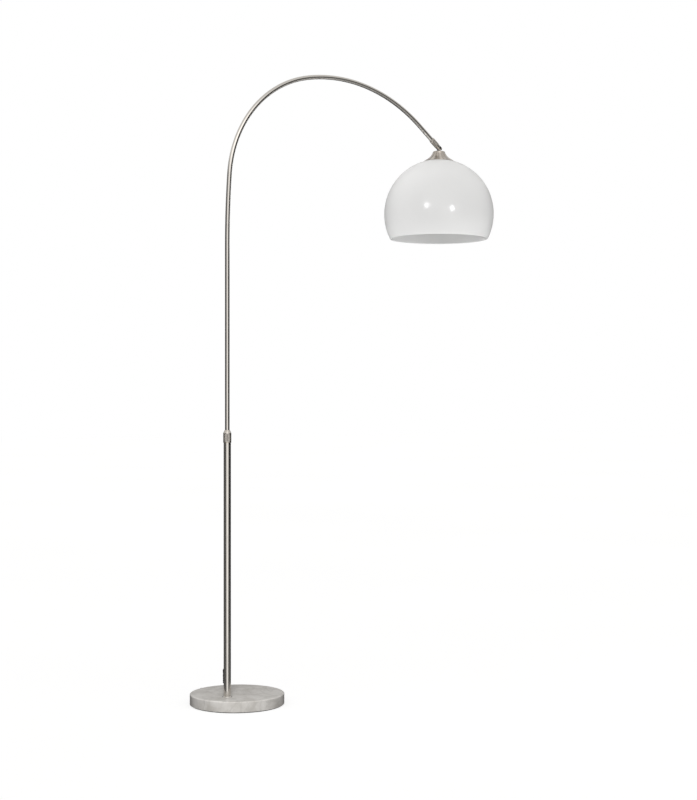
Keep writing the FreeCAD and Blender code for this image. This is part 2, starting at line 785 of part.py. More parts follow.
def cord_coil():
    """Outer shape of the wound coil, two layers deep, with round corners in section."""
    reach = COIL_WIDTH / 2 - FLEX_R
    high = COIL_LIFT + COIL_H - FLEX_R
    corners = [
        (COIL_MEAN_R + reach, FLOOR_Z, -90.0), (COIL_MEAN_R + reach, high, 0.0),
        (COIL_MEAN_R - reach, high, 90.0), (COIL_MEAN_R - reach, FLOOR_Z, 180.0),
    ]
    arcs = []
    for r, z, first in corners:
        spots = []
        for step in (0.0, 45.0, 90.0):
            a = math.radians(first + step)
            spots.append(V(r + FLEX_R * math.cos(a), 0, z + FLEX_R * math.sin(a)))
        arcs.append(spots)
    edges = []
    for i, spots in enumerate(arcs):
        edges.append(Part.Arc(*spots).toShape())
        edges.append(edge(spots[-1], arcs[(i + 1) % len(arcs)][0]))
    body = Part.Face(Part.Wire(edges)).revolve(V(0, 0, 0), UP, 360)
    body.translate(lay(*COIL_AT))
    return body


def coil_tie():
    """A flat band round the coil's section, on its far side."""
    w = COIL_WIDTH + 2 * TIE_T
    h = COIL_H + 2 * TIE_T
    band = Part.makeBox(w, TIE_W, h).cut(Part.makeBox(COIL_WIDTH, TIE_W, COIL_H, V(TIE_T, 0, TIE_T)))
    band.translate(V(COIL_MEAN_R - w / 2, -TIE_W / 2, 0))
    band.rotate(V(0, 0, 0), UP, TIE_BEARING + LAY_TURN)
    band.translate(lay(*COIL_AT))
    return band


def cord_gland():
    """Right-angle moulded strain relief: a stub in the pole's wall, an elbow and a tapered leg."""
    out = gland_heading()
    elbow = at_pole(GLAND_ELBOW_Z)
    face = POLE_R + GLAND_STAND_OFF
    knee = elbow + out * GLAND_OUT
    inside = elbow + out * POLE_BORE_R
    stub = Part.makeCylinder(GLAND_BORE_R - GLAND_FIT, GLAND_OUT - POLE_BORE_R, inside, out)
    block = Part.makeCylinder(GLAND_BLOCK_R, GLAND_OUT - face, elbow + out * face, out)
    ball = Part.makeSphere(GLAND_R, knee)
    leg = Part.makeCone(GLAND_END_R, GLAND_R, GLAND_ELBOW_Z - GLAND_END_Z, GLAND_EXIT, UP)
    return stub.multiFuse([block, ball, leg]).removeSplitter()


# ---------------- in-line switch ----------------

def switch_end(side, beyond=0.0):
    """Across and behind of the switch's end, or a point beyond it on its axis."""
    t = math.radians(SWITCH_HEADING)
    reach = side * (SWITCH_L / 2 + beyond)
    return (SWITCH_AT[0] + reach * math.cos(t), SWITCH_AT[1] + reach * math.sin(t))


def place_switch(shape):
    shape.rotate(V(0, 0, 0), UP, SWITCH_HEADING + LAY_TURN)
    shape.translate(lay(*SWITCH_AT))
    return shape


def switch_block(inset, z0, z1):
    """The switch's plan: a long rounded block."""
    r = SWITCH_W / 2 - inset
    x = SWITCH_L / 2 - SWITCH_W / 2
    mid = Part.makeBox(2 * x, 2 * r, z1 - z0, V(-x, -r, z0))
    ends = [Part.makeCylinder(r, z1 - z0, V(sign * x, 0, z0), UP) for sign in (1, -1)]
    return mid.multiFuse(ends).removeSplitter()


def flex_channel():
    """The way through the switch for the cord's two ends."""
    ends = []
    for sign in (1, -1):
        start = V(sign * (SWITCH_L / 2 - FLEX_IN_SWITCH), 0, SWITCH_H / 2)
        ends.append(Part.makeCylinder(FLEX_R, 2 * FLEX_IN_SWITCH, start, V(sign, 0, 0)))
    return Part.makeCompound(ends)


def at_screws(z):
    return [V(sign * SWITCH_SCREW_X, 0, z) for sign in (1, -1)]


def switch_base():
    middle = SWITCH_H / 2
    body = switch_block(0, 0, middle)
    body = body.cut(switch_block(SWITCH_WALL, SWITCH_WALL, middle))
    for spot in at_screws(SWITCH_WALL):
        body = body.fuse(Part.makeCylinder(SWITCH_POST_R, middle - SWITCH_WALL, spot, UP))
    body = body.removeSplitter()
    for spot in at_screws(0):
        body = body.cut(Part.makeCylinder(SCREW_HOLE_R, SWITCH_H, spot, UP))
        body = body.cut(Part.makeCylinder(SCREW_SINK_R, SCREW_SINK + SCREW_HEAD_T, spot, UP))
    return place_switch(body.cut(flex_channel()))


def switch_cover():
    middle = SWITCH_H / 2
    body = switch_block(0, middle, SWITCH_H)
    top = [e for e in body.Edges if e.BoundBox.ZMin > SWITCH_H - PICK]
    body = body.makeFillet(SWITCH_ROUND, top)
    body = body.cut(switch_block(SWITCH_WALL, middle, SWITCH_H - SWITCH_WALL))
    for spot in at_screws(middle):
        post = Part.makeCylinder(SWITCH_POST_R, middle - SWITCH_WALL + SWITCH_POST_OVERLAP, spot, UP)
        body = body.fuse(post).cut(Part.makeCylinder(SCREW_HOLE_R, SCREW_HOLE_DEPTH, spot, UP))
    window = Part.makeBox(ROCKER_L + 2 * ROCKER_GAP, ROCKER_W + 2 * ROCKER_GAP, SWITCH_H)
    window.translate(V(-ROCKER_L / 2 - ROCKER_GAP, -ROCKER_W / 2 - ROCKER_GAP, middle))
    return place_switch(body.cut(window).cut(flex_channel()).removeSplitter())


def switch_screws():
    screws = []
    for spot in at_screws(SCREW_SINK):
        head = Part.makeCylinder(SCREW_HEAD_R, SCREW_HEAD_T, spot, UP)
        shank = Part.makeCylinder(SCREW_R, SCREW_LEN, spot + V(0, 0, SCREW_HEAD_T), UP)
        corner = spot + V(-SCREW_HEAD_R, -SCREW_SLOT / 2, 0)
        slot = Part.makeBox(2 * SCREW_HEAD_R, SCREW_SLOT, SCREW_SLOT, corner)
        screws.append(head.fuse(shank).removeSplitter().cut(slot))
    return place_switch(Part.makeCompound(screws))


def switch_contacts():
    """Two fixed brass contacts on the switch's floor."""
    bars = [Part.makeBox(*CONTACT, V(x, -CONTACT[1] / 2, SWITCH_WALL)) for x in CONTACT_X]
    return place_switch(Part.makeCompound(bars))


def switch_rocker():
    """Rocker on a cross pin, stored with one half up; its ends stay inside a circle about the pin."""
    z = SWITCH_H - ROCKER_DROP
    corners = [V(x, -ROCKER_W / 2, z + rise) for x, rise in ROCKER_OUTLINE]
    body = Part.Face(Part.makePolygon(corners + corners[:1])).extrude(V(0, ROCKER_W, 0))
    reach = ROCKER_W / 2 + ROCKER_AXLE_OUT
    axle = Part.makeCylinder(ROCKER_AXLE_R, 2 * reach, V(0, -reach, z), V(0, 1, 0))
    return place_switch(body.fuse(axle).removeSplitter())


# ---------------- plug ----------------

def place_plug(shape):
    """Built pointing along -X from its relief's end, then laid at its place."""
    shape.rotate(V(0, 0, 0), UP, LAY_TURN)
    shape.translate(lay(*PLUG_AT))
    return shape


def plug_body():
    """Flat two-pin plug with a tapered relief on the cord."""
    h = PLUG_H / 2
    back = -PLUG_RELIEF
    front = back - PLUG_LEN_BODY
    relief = Part.makeCone(RELIEF_R, h - RELIEF_GAP, PLUG_RELIEF, V(0, 0, h), V(-1, 0, 0))
    side = [(back, PLUG_NOSE_W / 2), (back - PLUG_TAPER, PLUG_W / 2), (front, PLUG_W / 2)]
    plan = [V(x, y, 0) for x, y in side] + [V(x, -y, 0) for x, y in reversed(side)]
    block = Part.Face(Part.makePolygon(plan + plan[:1])).extrude(V(0, 0, PLUG_H))
    block = block.makeFillet(PLUG_EDGE, block.Edges)
    body = block.fuse(relief).removeSplitter()
    for sign in (1, -1):
        root = V(front - CUT_OVER, sign * PIN_PITCH / 2, h)
        body = body.cut(Part.makeCylinder(PIN_ROOT_R, PIN_ROOT_LEN + CUT_OVER, root, V(1, 0, 0)))
    return place_plug(body)


def plug_pins():
    """Two round pins, each with a thinner root moulded into the body."""
    pins = []
    face = -PLUG_RELIEF - PLUG_LEN_BODY
    for sign in (1, -1):
        start = V(face, sign * PIN_PITCH / 2, PLUG_H / 2)
        rod = Part.makeCylinder(PIN_R, PIN_LEN, start, V(-1, 0, 0))
        tip = [e for e in rod.Edges if e.BoundBox.XMax < face - PIN_LEN + PICK]
        root = Part.makeCylinder(PIN_ROOT_R, PIN_ROOT_LEN, start, V(1, 0, 0))
        pins.append(rod.makeFillet(PIN_ROUND, tip).fuse(root).removeSplitter())
    return place_plug(Part.makeCompound(pins))


def build():
    makers = (
        felt_pad, weight_plate, marble_base, foot_washer, foot_bolt, foot_plug, pole_flange, lower_pole,
        pole_top_sleeve, collar_nut, collet, arm_tube, guide_bush, arm_flex, pole_flex, fork_plug,
        head_sleeve, pivot_bolt, pivot_nut, friction_washers, tongue_stem, bell_cap, stem_nut,
        lampholder_cap, lampholder_body, lampholder_insert, lampholder_contacts, upper_shade_ring,
        lower_shade_ring, shade, bulb_glass, bulb_cap, head_flex, cord_gland, cord_coil, coil_tie,
        switch_base, switch_cover, switch_screws, switch_contacts, switch_rocker, plug_body, plug_pins,
    )
    for maker in makers:
        save(maker(), maker.__name__)
    save(cord_tube(cord_from_pole_points(), "cord_from_pole"), "cord_from_pole")
    save(cord_tube(cord_to_switch_points(), "cord_to_switch"), "cord_to_switch")
    save(cord_tube(cord_to_plug_points(), "cord_to_plug"), "cord_to_plug")
    print("pivot", PIVOT, "arm end turn", ARM_END_TURN)


build()
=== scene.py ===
import json
import math

import bmesh
import bpy
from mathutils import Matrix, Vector


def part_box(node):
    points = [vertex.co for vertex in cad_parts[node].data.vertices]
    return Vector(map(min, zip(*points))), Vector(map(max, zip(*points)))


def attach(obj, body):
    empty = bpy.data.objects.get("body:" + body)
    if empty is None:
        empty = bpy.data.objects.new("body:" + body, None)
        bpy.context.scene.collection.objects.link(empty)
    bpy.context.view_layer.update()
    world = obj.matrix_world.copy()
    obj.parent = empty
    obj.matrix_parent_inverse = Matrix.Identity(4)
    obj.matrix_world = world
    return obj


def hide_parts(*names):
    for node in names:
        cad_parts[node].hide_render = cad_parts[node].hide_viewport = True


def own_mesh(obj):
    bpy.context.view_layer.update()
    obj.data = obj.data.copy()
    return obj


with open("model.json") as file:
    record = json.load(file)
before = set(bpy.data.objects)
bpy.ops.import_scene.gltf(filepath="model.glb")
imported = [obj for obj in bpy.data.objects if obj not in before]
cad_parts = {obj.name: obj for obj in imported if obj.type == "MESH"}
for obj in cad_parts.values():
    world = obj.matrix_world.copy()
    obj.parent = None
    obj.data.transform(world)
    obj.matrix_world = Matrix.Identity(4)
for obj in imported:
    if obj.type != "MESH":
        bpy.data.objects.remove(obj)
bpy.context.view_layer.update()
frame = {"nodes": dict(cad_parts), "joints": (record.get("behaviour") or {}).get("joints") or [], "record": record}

# ---------------------------------------------------------------- places read from the frame

TAU = 2 * math.pi
UP = Vector((0, 0, 1))
JOINT = {j["name"]: j for j in frame["joints"]}
PIVOT = Vector(JOINT["shade_tilt"]["pos_m"])


def middle(node):
    """The middle of a CAD node's box."""
    low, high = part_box(node)
    return (low + high) / 2


POLE = middle("lower_pole")
POLE.z = 0.0


def on_pole(z):
    """A point on the pole's axis."""
    return Vector((POLE.x, POLE.y, z))


# ---------------------------------------------------------------- camera

VIEW_TURN = math.radians(-35.0)
CAMERA_BACK = 4.070
CAMERA_ACROSS = 0.2952
CAMERA_HEIGHT = 0.793
LENS_MM = 69.08
SENSOR_MM = 36.0
SHIFT_UP = 0.00625
VIEW_DEPTH = 60.0


def lay(across, behind, z=0.0):
    """A point given across and behind the lamp as the camera faces it, in the part's axes."""
    c = math.cos(VIEW_TURN)
    s = math.sin(VIEW_TURN)
    return Vector((across * c - behind * s, across * s + behind * c, z))


def make_camera():
    data = bpy.data.cameras.new("camera")
    data.lens = LENS_MM
    data.sensor_width = SENSOR_MM
    data.shift_y = SHIFT_UP
    data.clip_end = VIEW_DEPTH
    camera = bpy.data.objects.new("camera", data)
    camera.location = lay(CAMERA_ACROSS, -CAMERA_BACK, CAMERA_HEIGHT)
    camera.rotation_euler = (math.radians(90.0), 0.0, VIEW_TURN)
    bpy.context.scene.collection.objects.link(camera)
    bpy.context.scene.camera = camera


make_camera()

# ---------------------------------------------------------------- cord

FLEX_D = 0.005
FLEX_R = FLEX_D / 2
FLEX_INSET = 0.00005
COIL_AT = (-0.075, 0.152)
COIL_LOW_Z = 0.0035
COIL_HIGH_Z = 0.0085
COIL_OUTER_R = 0.0365
COIL_INNER_R = 0.0185
COIL_START = 38.0
COIL_END = -65.0
COIL_TURNS = 7
COIL_STEPS = 16
CLIMB_FROM = 0.47
CLIMB_SHARE = 0.06
BASE_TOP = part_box("marble_base")[1].z
GLAND_BEARING = math.radians(82.0)
GLAND_OUT = Vector((math.cos(GLAND_BEARING), math.sin(GLAND_BEARING), 0))
GLAND_EXIT = on_pole(0.064) + GLAND_OUT * 0.0165
SWITCH_AT = (0.034, 0.1415)
SWITCH_HEADING = math.radians(-10.0)
SWITCH_HALF = 0.030
SWITCH_MID_Z = 0.008
ROCKER_HALF = 0.009
ROCKER_ROOM = Vector((0, 0, 0.0028))
PLUG_MID_Z = 0.00685


def clamped(share):
    return min(max(share, 0.0), 1.0)


def switch_axis(reach):
    """A point on the switch's long axis, so far beyond its middle."""
    across = SWITCH_AT[0] + reach * math.cos(SWITCH_HEADING)
    behind = SWITCH_AT[1] + reach * math.sin(SWITCH_HEADING)
    return lay(across, behind, SWITCH_MID_Z)


def coil_points():
    """Wound inwards on the floor layer, up at the inner turn, and outwards again on top."""
    total = COIL_TURNS * 360.0 + (360.0 + COIL_END - COIL_START)
    count = round(total / 360.0 * COIL_STEPS)
    points = []
    for i in range(1, count):
        share = i / count
        angle = math.radians(COIL_START + total * share)
        inwards = 1.0 - abs(2.0 * share - 1.0)
        radius = COIL_OUTER_R + (COIL_INNER_R - COIL_OUTER_R) * inwards
        climb = clamped((share - CLIMB_FROM) / CLIMB_SHARE)
        z = COIL_LOW_Z + (COIL_HIGH_Z - COIL_LOW_Z) * climb * climb * (3 - 2 * climb)
        across = COIL_AT[0] + radius * math.cos(angle)
        behind = COIL_AT[1] + radius * math.sin(angle)
        points.append(lay(across, behind, z))
    return points


def cord_points():
    """From the strain relief over the marble and off its back edge, then coil, switch and plug."""
    from_pole = [
        GLAND_EXIT,
        GLAND_EXIT - Vector((0, 0, 0.0184)),
        lay(-0.0300, -0.0312, BASE_TOP + FLEX_R),
        lay(-0.0320, 0.0050, BASE_TOP + FLEX_R),
        lay(-0.0332, 0.0460, BASE_TOP + FLEX_R + 0.0008),
        lay(-0.0328, 0.0800, BASE_TOP + 0.0056),
        lay(-0.0326, 0.1030, BASE_TOP + 0.0096),
        lay(-0.0336, 0.1250, BASE_TOP + 0.0086),
        lay(-0.0364, 0.1520, COIL_LOW_Z),
        lay(-0.0464, 0.1746, COIL_LOW_Z),
    ]
    to_switch = [
        lay(-0.0614, 0.1179, 0.0085),
        lay(-0.0390, 0.1314, 0.0065),
        switch_axis(-SWITCH_HALF - 0.022),
        switch_axis(-SWITCH_HALF),
        switch_axis(-ROCKER_HALF) - ROCKER_ROOM,
    ]
    to_plug = [
        switch_axis(ROCKER_HALF) - ROCKER_ROOM,
        switch_axis(SWITCH_HALF),
        switch_axis(SWITCH_HALF + 0.018),
        lay(0.0971, 0.1416, 0.0052),
        lay(0.1044, 0.1581, 0.0034),
        lay(0.1001, 0.1755, 0.0036),
        lay(0.0859, 0.1866, PLUG_MID_Z),
        lay(0.0679, 0.1866, PLUG_MID_Z),
    ]
    return from_pole + coil_points() + to_switch + to_plug


def make_cord(material):
    curve = bpy.data.curves.new("mains_cord", "CURVE")
    curve.dimensions = "3D"
    curve.bevel_depth = FLEX_R - FLEX_INSET
    curve.bevel_resolution = 6
    curve.resolution_u = 6
    curve.use_fill_caps = True
    points = cord_points()
    spline = curve.splines.new("NURBS")
    spline.points.add(len(points) - 1)
    for point, place in zip(spline.points, points):
        point.co = (*place, 1.0)
    spline.order_u = 3
    spline.use_endpoint_u = True
    cord = bpy.data.objects.new("mains_cord", curve)
    bpy.context.scene.collection.objects.link(cord)
    curve.materials.append(material)
    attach(cord, "stand")
    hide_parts("cord_from_pole", "cord_coil", "cord_to_switch", "cord_to_plug")
    return cord


# ---------------------------------------------------------------- mesh helpers

def rounded(corners, closed=True, steps=6):
    """Points of an outline whose corners are (x, z) or (x, z, fillet radius)."""
    points = []
    count = len(corners)
    for i, corner in enumerate(corners):
        here = Vector(corner[:2])
        radius = corner[2] if len(corner) > 2 else 0.0
        if radius <= 0 or (not closed and i in (0, count - 1)):
            points.append(here)
            continue
        back = Vector(corners[i - 1][:2]) - here
        ahead = Vector(corners[(i + 1) % count][:2]) - here
        half = back.angle(ahead) / 2
        reach = min(radius / math.tan(half), 0.49 * back.length, 0.49 * ahead.length)
        start = here + back.normalized() * reach
        end = here + ahead.normalized() * reach
        centre = here + (back.normalized() + ahead.normalized()).normalized() * (reach / math.cos(half))
        for k in range(steps + 1):
            arm = (start - centre).lerp(end - centre, k / steps)
            points.append(centre + arm.normalized() * (start - centre).length)
    return points


def arc(centre, radius, first, last, steps):
    """Points of a round stretch of an outline, from one angle to another in degrees."""
    points = []
    for k in range(steps + 1):
        a = math.radians(first + (last - first) * k / steps)
        points.append(Vector((centre[0] + radius * math.cos(a), centre[1] + radius * math.sin(a))))
    return points


def straight(radius, low, high, steps):
    """Points up a straight stretch, close enough together to carry knurls."""
    return [Vector((radius, low + (high - low) * i / steps)) for i in range(steps + 1)]


def smooth_line(knots, steps=8):
    """Points of a smooth open curve through the knots."""
    points = []
    for i in range(len(knots) - 1):
        p1 = Vector(knots[i])
        p2 = Vector(knots[i + 1])
        p0 = Vector(knots[i - 1]) if i > 0 else p1 - (p2 - p1)
        p3 = Vector(knots[i + 2]) if i + 2 < len(knots) else p2 + (p2 - p1)
        for k in range(steps):
            t = k / steps
            points.append(0.5 * (2 * p1 + (p2 - p0) * t + (2 * p0 - 5 * p1 + 4 * p2 - p3) * t * t
                                 + (3 * p1 - p0 - 3 * p2 + p3) * t ** 3))
    points.append(Vector(knots[-1]))
    return points


def finish_mesh(name, build, body, material, nodes, sharp=38.0):
    """Make the object, shade it smooth with its hard edges kept, and tie it to its body."""
    bmesh.ops.remove_doubles(build, verts=build.verts, dist=1e-6)
    bmesh.ops.recalc_face_normals(build, faces=build.faces)
    mesh = bpy.data.meshes.new(name)
    build.to_mesh(mesh)
    build.free()
    mesh.polygons.foreach_set("use_smooth", [True] * len(mesh.polygons))
    mesh.set_sharp_from_angle(angle=math.radians(sharp))
    mesh.materials.append(material)
    piece = bpy.data.objects.new(name, mesh)
    bpy.context.scene.collection.objects.link(piece)
    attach(piece, body)
    if nodes:
        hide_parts(*nodes)
    return piece


def skin(build, rings, closed=False):
    """Quads between rings of equal count; UVs in metres round and along; open ends are capped."""
    uv = build.loops.layers.uv.verify()
    count = len(rings[0])
    verts = [[build.verts.new(p) for p in ring] for ring in rings]
    spans = [(rings[j][0] - rings[j - 1][0]).length for j in range(1, len(rings))]
    along = [0.0]
    for span in spans:
        along.append(along[-1] + span)
    girth = max((ring[0] - ring[count // 2]).length for ring in rings) * math.pi
    last = len(rings) if closed else len(rings) - 1
    for j in range(last):
        k = (j + 1) % len(rings)
        v0 = along[j]
        v1 = along[j + 1] if j + 1 < len(along) else along[-1] + (rings[k][0] - rings[j][0]).length
        for i in range(count):
            n = (i + 1) % count
            face = build.faces.new((verts[j][i], verts[j][n], verts[k][n], verts[k][i]))
            u0 = girth * i / count
            u1 = girth * (i + 1) / count
            for loop, place in zip(face.loops, ((u0, v0), (u1, v0), (u1, v1), (u0, v1))):
                loop[uv].uv = place
    if not closed:
        build.faces.new(reversed(verts[0]))
        build.faces.new(verts[-1])


def turned(build, centre, outline, segments=96, closed=True, ripple=None, x=None, z=None):
    """Turn an outline of (radius, height) points about an axis through centre."""
    x = x or Vector((1, 0, 0))
    z = z or UP
    y = z.cross(x)
    rings = []
    for radius, height in outline:
        ring = []
        for i in range(segments):
            a = TAU * i / segments
            r = radius + (ripple(a, height) if ripple else 0.0)
            ring.append(centre + (x * math.cos(a) + y * math.sin(a)) * r + z * height)
        rings.append(ring)
    skin(build, rings, closed)


def lathe(name, body, material, slot, nodes, centre, outline, **options):
    """A piece made of one turned outline."""
    build = bmesh.new()
    turned(build, centre, outline, **options)
    return finish_mesh(name, build, body, material, nodes)


# ---------------------------------------------------------------- material helpers

def nodes_of(name):
    """A new material with its node tree and its main shader."""
    material = bpy.data.materials.new(name)
    material.use_nodes = True
    tree = material.node_tree
    tree.nodes.clear()
    out = tree.nodes.new("ShaderNodeOutputMaterial")
    shader = tree.nodes.new("ShaderNodeBsdfPrincipled")
    tree.links.new(shader.outputs[0], out.inputs[0])
    return material, tree, shader


def place_of(tree, kind="Object", scale=(1, 1, 1)):
    """Object or UV coordinates in metres, stretched along the axes."""
    place = tree.nodes.new("ShaderNodeTexCoord")
    mapping = tree.nodes.new("ShaderNodeMapping")
    mapping.inputs["Scale"].default_value = scale
    tree.links.new(place.outputs[kind], mapping.inputs["Vector"])
    return mapping.outputs["Vector"]


def noise(tree, place, scale, detail=3.0, distortion=0.0, rough=0.5):
    node = tree.nodes.new("ShaderNodeTexNoise")
    node.inputs["Scale"].default_value = scale
    node.inputs["Detail"].default_value = detail
    node.inputs["Distortion"].default_value = distortion
    node.inputs["Roughness"].default_value = rough
    tree.links.new(place, node.inputs["Vector"])
    return node.outputs["Fac"]


def ramp(tree, value, stops):
    """Colour or grey stops: (position, colour)."""
    node = tree.nodes.new("ShaderNodeValToRGB")
    elements = node.color_ramp.elements
    while len(elements) < len(stops):
        elements.new(0.5)
    for element, (position, colour) in zip(elements, stops):
        element.position = position
        if isinstance(colour, float):
            colour = (colour, colour, colour)
        element.color = (*colour, 1.0)
    tree.links.new(value, node.inputs["Fac"])
    return node.outputs["Color"]


def bump(tree, shader, height, strength, distance):
    node = tree.nodes.new("ShaderNodeBump")
    node.inputs["Strength"].default_value = strength
    node.inputs["Distance"].default_value = distance
    tree.links.new(height, node.inputs["Height"])
    tree.links.new(node.outputs["Normal"], shader.inputs["Normal"])


def mix(tree, a, b, factor):
    node = tree.nodes.new("ShaderNodeMix")
    node.data_type = "RGBA"
    for value, socket in ((factor, node.inputs[0]), (a, node.inputs[6]), (b, node.inputs[7])):
        if isinstance(value, (float, int)):
            socket.default_value = value
        elif isinstance(value, tuple):
            socket.default_value = (*value, 1.0)
        else:
            tree.links.new(value, socket)
    return node.outputs[2]


def shade_of(colour, k):
    return tuple(min(c * k, 1.0) for c in colour)


# ---------------------------------------------------------------- materials

OPAL_THROUGH = 0.40
SMUDGE_TONE = 0.93
# stretch of the painted reflection streaks, round and along a spun piece
REFLECTION_STREAK_SCALE = (75, 3, 1)


def metal(name, colour, roughness, kind="Object", grain=(700, 700, 20), spread=0.06, smudge=0.25,
          relief=0.05, painted_reflection_streaks=0.0):
    """Plated metal: fine brush lines stretched along one axis, optional painted reflection streaks, and faint hand
    smudges.
    """
    material, tree, shader = nodes_of(name)
    shader.inputs["Metallic"].default_value = 1.0
    lines = noise(tree, place_of(tree, kind, grain), 1.0, 3.0)
    clouds = noise(tree, place_of(tree), 22.0, 4.0, 0.6)
    tone = ramp(tree, lines, [(0.3, shade_of(colour, 1 - spread)), (0.7, shade_of(colour, 1 + spread))])
    # painted reflection: darker bands in the colour, running round the piece, stand in for the streaks that
    # reflections draw on spun metal
    if painted_reflection_streaks:
        reflection_bands = noise(tree, place_of(tree, "UV", REFLECTION_STREAK_SCALE), 1.0, 1.0)
        tone = mix(tree, tone, shade_of(colour, 1 - painted_reflection_streaks), ramp(tree, reflection_bands, [(0.40, 1.0), (0.58, 0.0)]))
    marked = ramp(tree, clouds, [(0.5, 0.0), (0.8, 0.6)])
    tree.links.new(mix(tree, tone, shade_of(colour, SMUDGE_TONE), marked), shader.inputs["Base Color"])
    gloss = ramp(tree, lines, [(0.25, roughness * 0.85), (0.75, roughness * 1.15)])
    dull = min(roughness * (1 + smudge) + 0.03, 1.0)
    dulled = ramp(tree, clouds, [(0.52, 0.0), (0.72, 0.8)])
    tree.links.new(mix(tree, gloss, (dull, dull, dull), dulled), shader.inputs["Roughness"])
    bump(tree, shader, lines, relief, 0.0001)
    return material


def marble():
    """Pale warm marble: soft grey clouds, faint wandering veins and fine crystal specks."""
    material, tree, shader = nodes_of("marble")
    place = place_of(tree)
    clouds = noise(tree, place, 16.0, 6.0, 0.8, 0.55)
    tone = ramp(tree, clouds, [
        (0.32, (0.475, 0.455, 0.425)), (0.48, (0.575, 0.556, 0.530)), (0.68, (0.660, 0.642, 0.618))])
    drift = noise(tree, place, 7.5, 6.0, 1.4, 0.55)
    vein = ramp(tree, drift, [(0.470, 0.0), (0.499, 0.42), (0.507, 0.42), (0.540, 0.0)])
    tone = mix(tree, tone, (0.40, 0.385, 0.36), vein)
    patch = noise(tree, place, 55.0, 4.0, 0.4)
    tone = mix(tree, tone, (0.42, 0.405, 0.38), ramp(tree, patch, [(0.58, 0.0), (0.72, 0.60)]))
    pale = noise(tree, place, 38.0, 3.0, 0.8)
    tone = mix(tree, tone, (0.74, 0.72, 0.69), ramp(tree, pale, [(0.60, 0.0), (0.74, 0.4)]))
    specks = noise(tree, place, 420.0, 2.0)
    tone = mix(tree, tone, (0.74, 0.73, 0.71), ramp(tree, specks, [(0.60, 0.0), (0.78, 0.3)]))
    tree.links.new(tone, shader.inputs["Base Color"])
    tree.links.new(ramp(tree, clouds, [(0.3, 0.42), (0.7, 0.30)]), shader.inputs["Roughness"])
    shader.inputs["Specular IOR Level"].default_value = 0.35
    bump(tree, shader, specks, 0.04, 0.0002)
    return material


def acrylic():
    """Opal acrylic: glossy white that light soaks into and partly through, with a faint cloudiness."""
    material, tree, shader = nodes_of("opal_acrylic")
    clouds = noise(tree, place_of(tree), 6.0, 3.0)
    white = ramp(tree, clouds, [(0.3, (0.805, 0.805, 0.803)), (0.7, (0.835, 0.835, 0.833))])
    tree.links.new(white, shader.inputs["Base Color"])
    peel = noise(tree, place_of(tree), 120.0, 2.0)
    tree.links.new(ramp(tree, peel, [(0.3, 0.17), (0.7, 0.22)]), shader.inputs["Roughness"])
    shader.inputs["IOR"].default_value = 1.49
    bump(tree, shader, peel, 0.015, 0.0003)
    through = tree.nodes.new("ShaderNodeBsdfTranslucent")
    tree.links.new(white, through.inputs["Color"])
    both = tree.nodes.new("ShaderNodeMixShader")
    both.inputs[0].default_value = OPAL_THROUGH
    out = next(n for n in tree.nodes if n.type == "OUTPUT_MATERIAL")
    tree.links.new(shader.outputs[0], both.inputs[1])
    tree.links.new(through.outputs[0], both.inputs[2])
    tree.links.new(both.outputs[0], out.inputs[0])
    return material


def moulded(name, colour, roughness, grain=900.0, strength=0.1):
    """Moulded plastic or rubber with a fine spark texture and uneven gloss."""
    material, tree, shader = nodes_of(name)
    fine = noise(tree, place_of(tree), grain, 2.0)
    clouds = noise(tree, place_of(tree), 40.0, 3.0)
    tree.links.new(ramp(tree, clouds, [(0.3, shade_of(colour, 0.85)), (0.7, shade_of(colour, 1.15))]),
                   shader.inputs["Base Color"])
    tree.links.new(ramp(tree, clouds, [(0.3, roughness * 0.85), (0.7, roughness * 1.15)]),
                   shader.inputs["Roughness"])
    bump(tree, shader, fine, strength, 0.0002)
    return material


def felt():
    """Black felt: matted fibres with a faint sheen."""
    material, tree, shader = nodes_of("felt")
    fibres = noise(tree, place_of(tree, "Object", (1, 1, 3)), 700.0, 6.0, 1.0)
    tree.links.new(ramp(tree, fibres, [(0.3, (0.04, 0.04, 0.045)), (0.7, (0.12, 0.12, 0.13))]),
                   shader.inputs["Base Color"])
    shader.inputs["Roughness"].default_value = 0.95
    shader.inputs["Sheen Weight"].default_value = 0.4
    bump(tree, shader, fibres, 0.5, 0.0005)
    return material


def frosted_glass():
    """White frosted bulb glass that light soaks into a little."""
    material, tree, shader = nodes_of("frosted_glass")
    frost = noise(tree, place_of(tree), 600.0, 3.0)
    tree.links.new(ramp(tree, frost, [(0.3, (0.86, 0.86, 0.84)), (0.7, (0.95, 0.95, 0.93))]),
                   shader.inputs["Base Color"])
    shader.inputs["Roughness"].default_value = 0.35
    shader.inputs["Subsurface Weight"].default_value = 0.4
    shader.inputs["Subsurface Scale"].default_value = 0.01
    bump(tree, shader, frost, 0.08, 0.0002)
    return material


NICKEL = (0.66, 0.63, 0.59)
ALONG = (1800, 14, 1)
AROUND = (14, 1800, 1)
TUBE_METAL = metal("tube_nickel", NICKEL, 0.17, "UV", ALONG)
KNURL_METAL = metal("knurled_nickel", (0.60, 0.565, 0.52), 0.30, "UV", AROUND, 0.08)
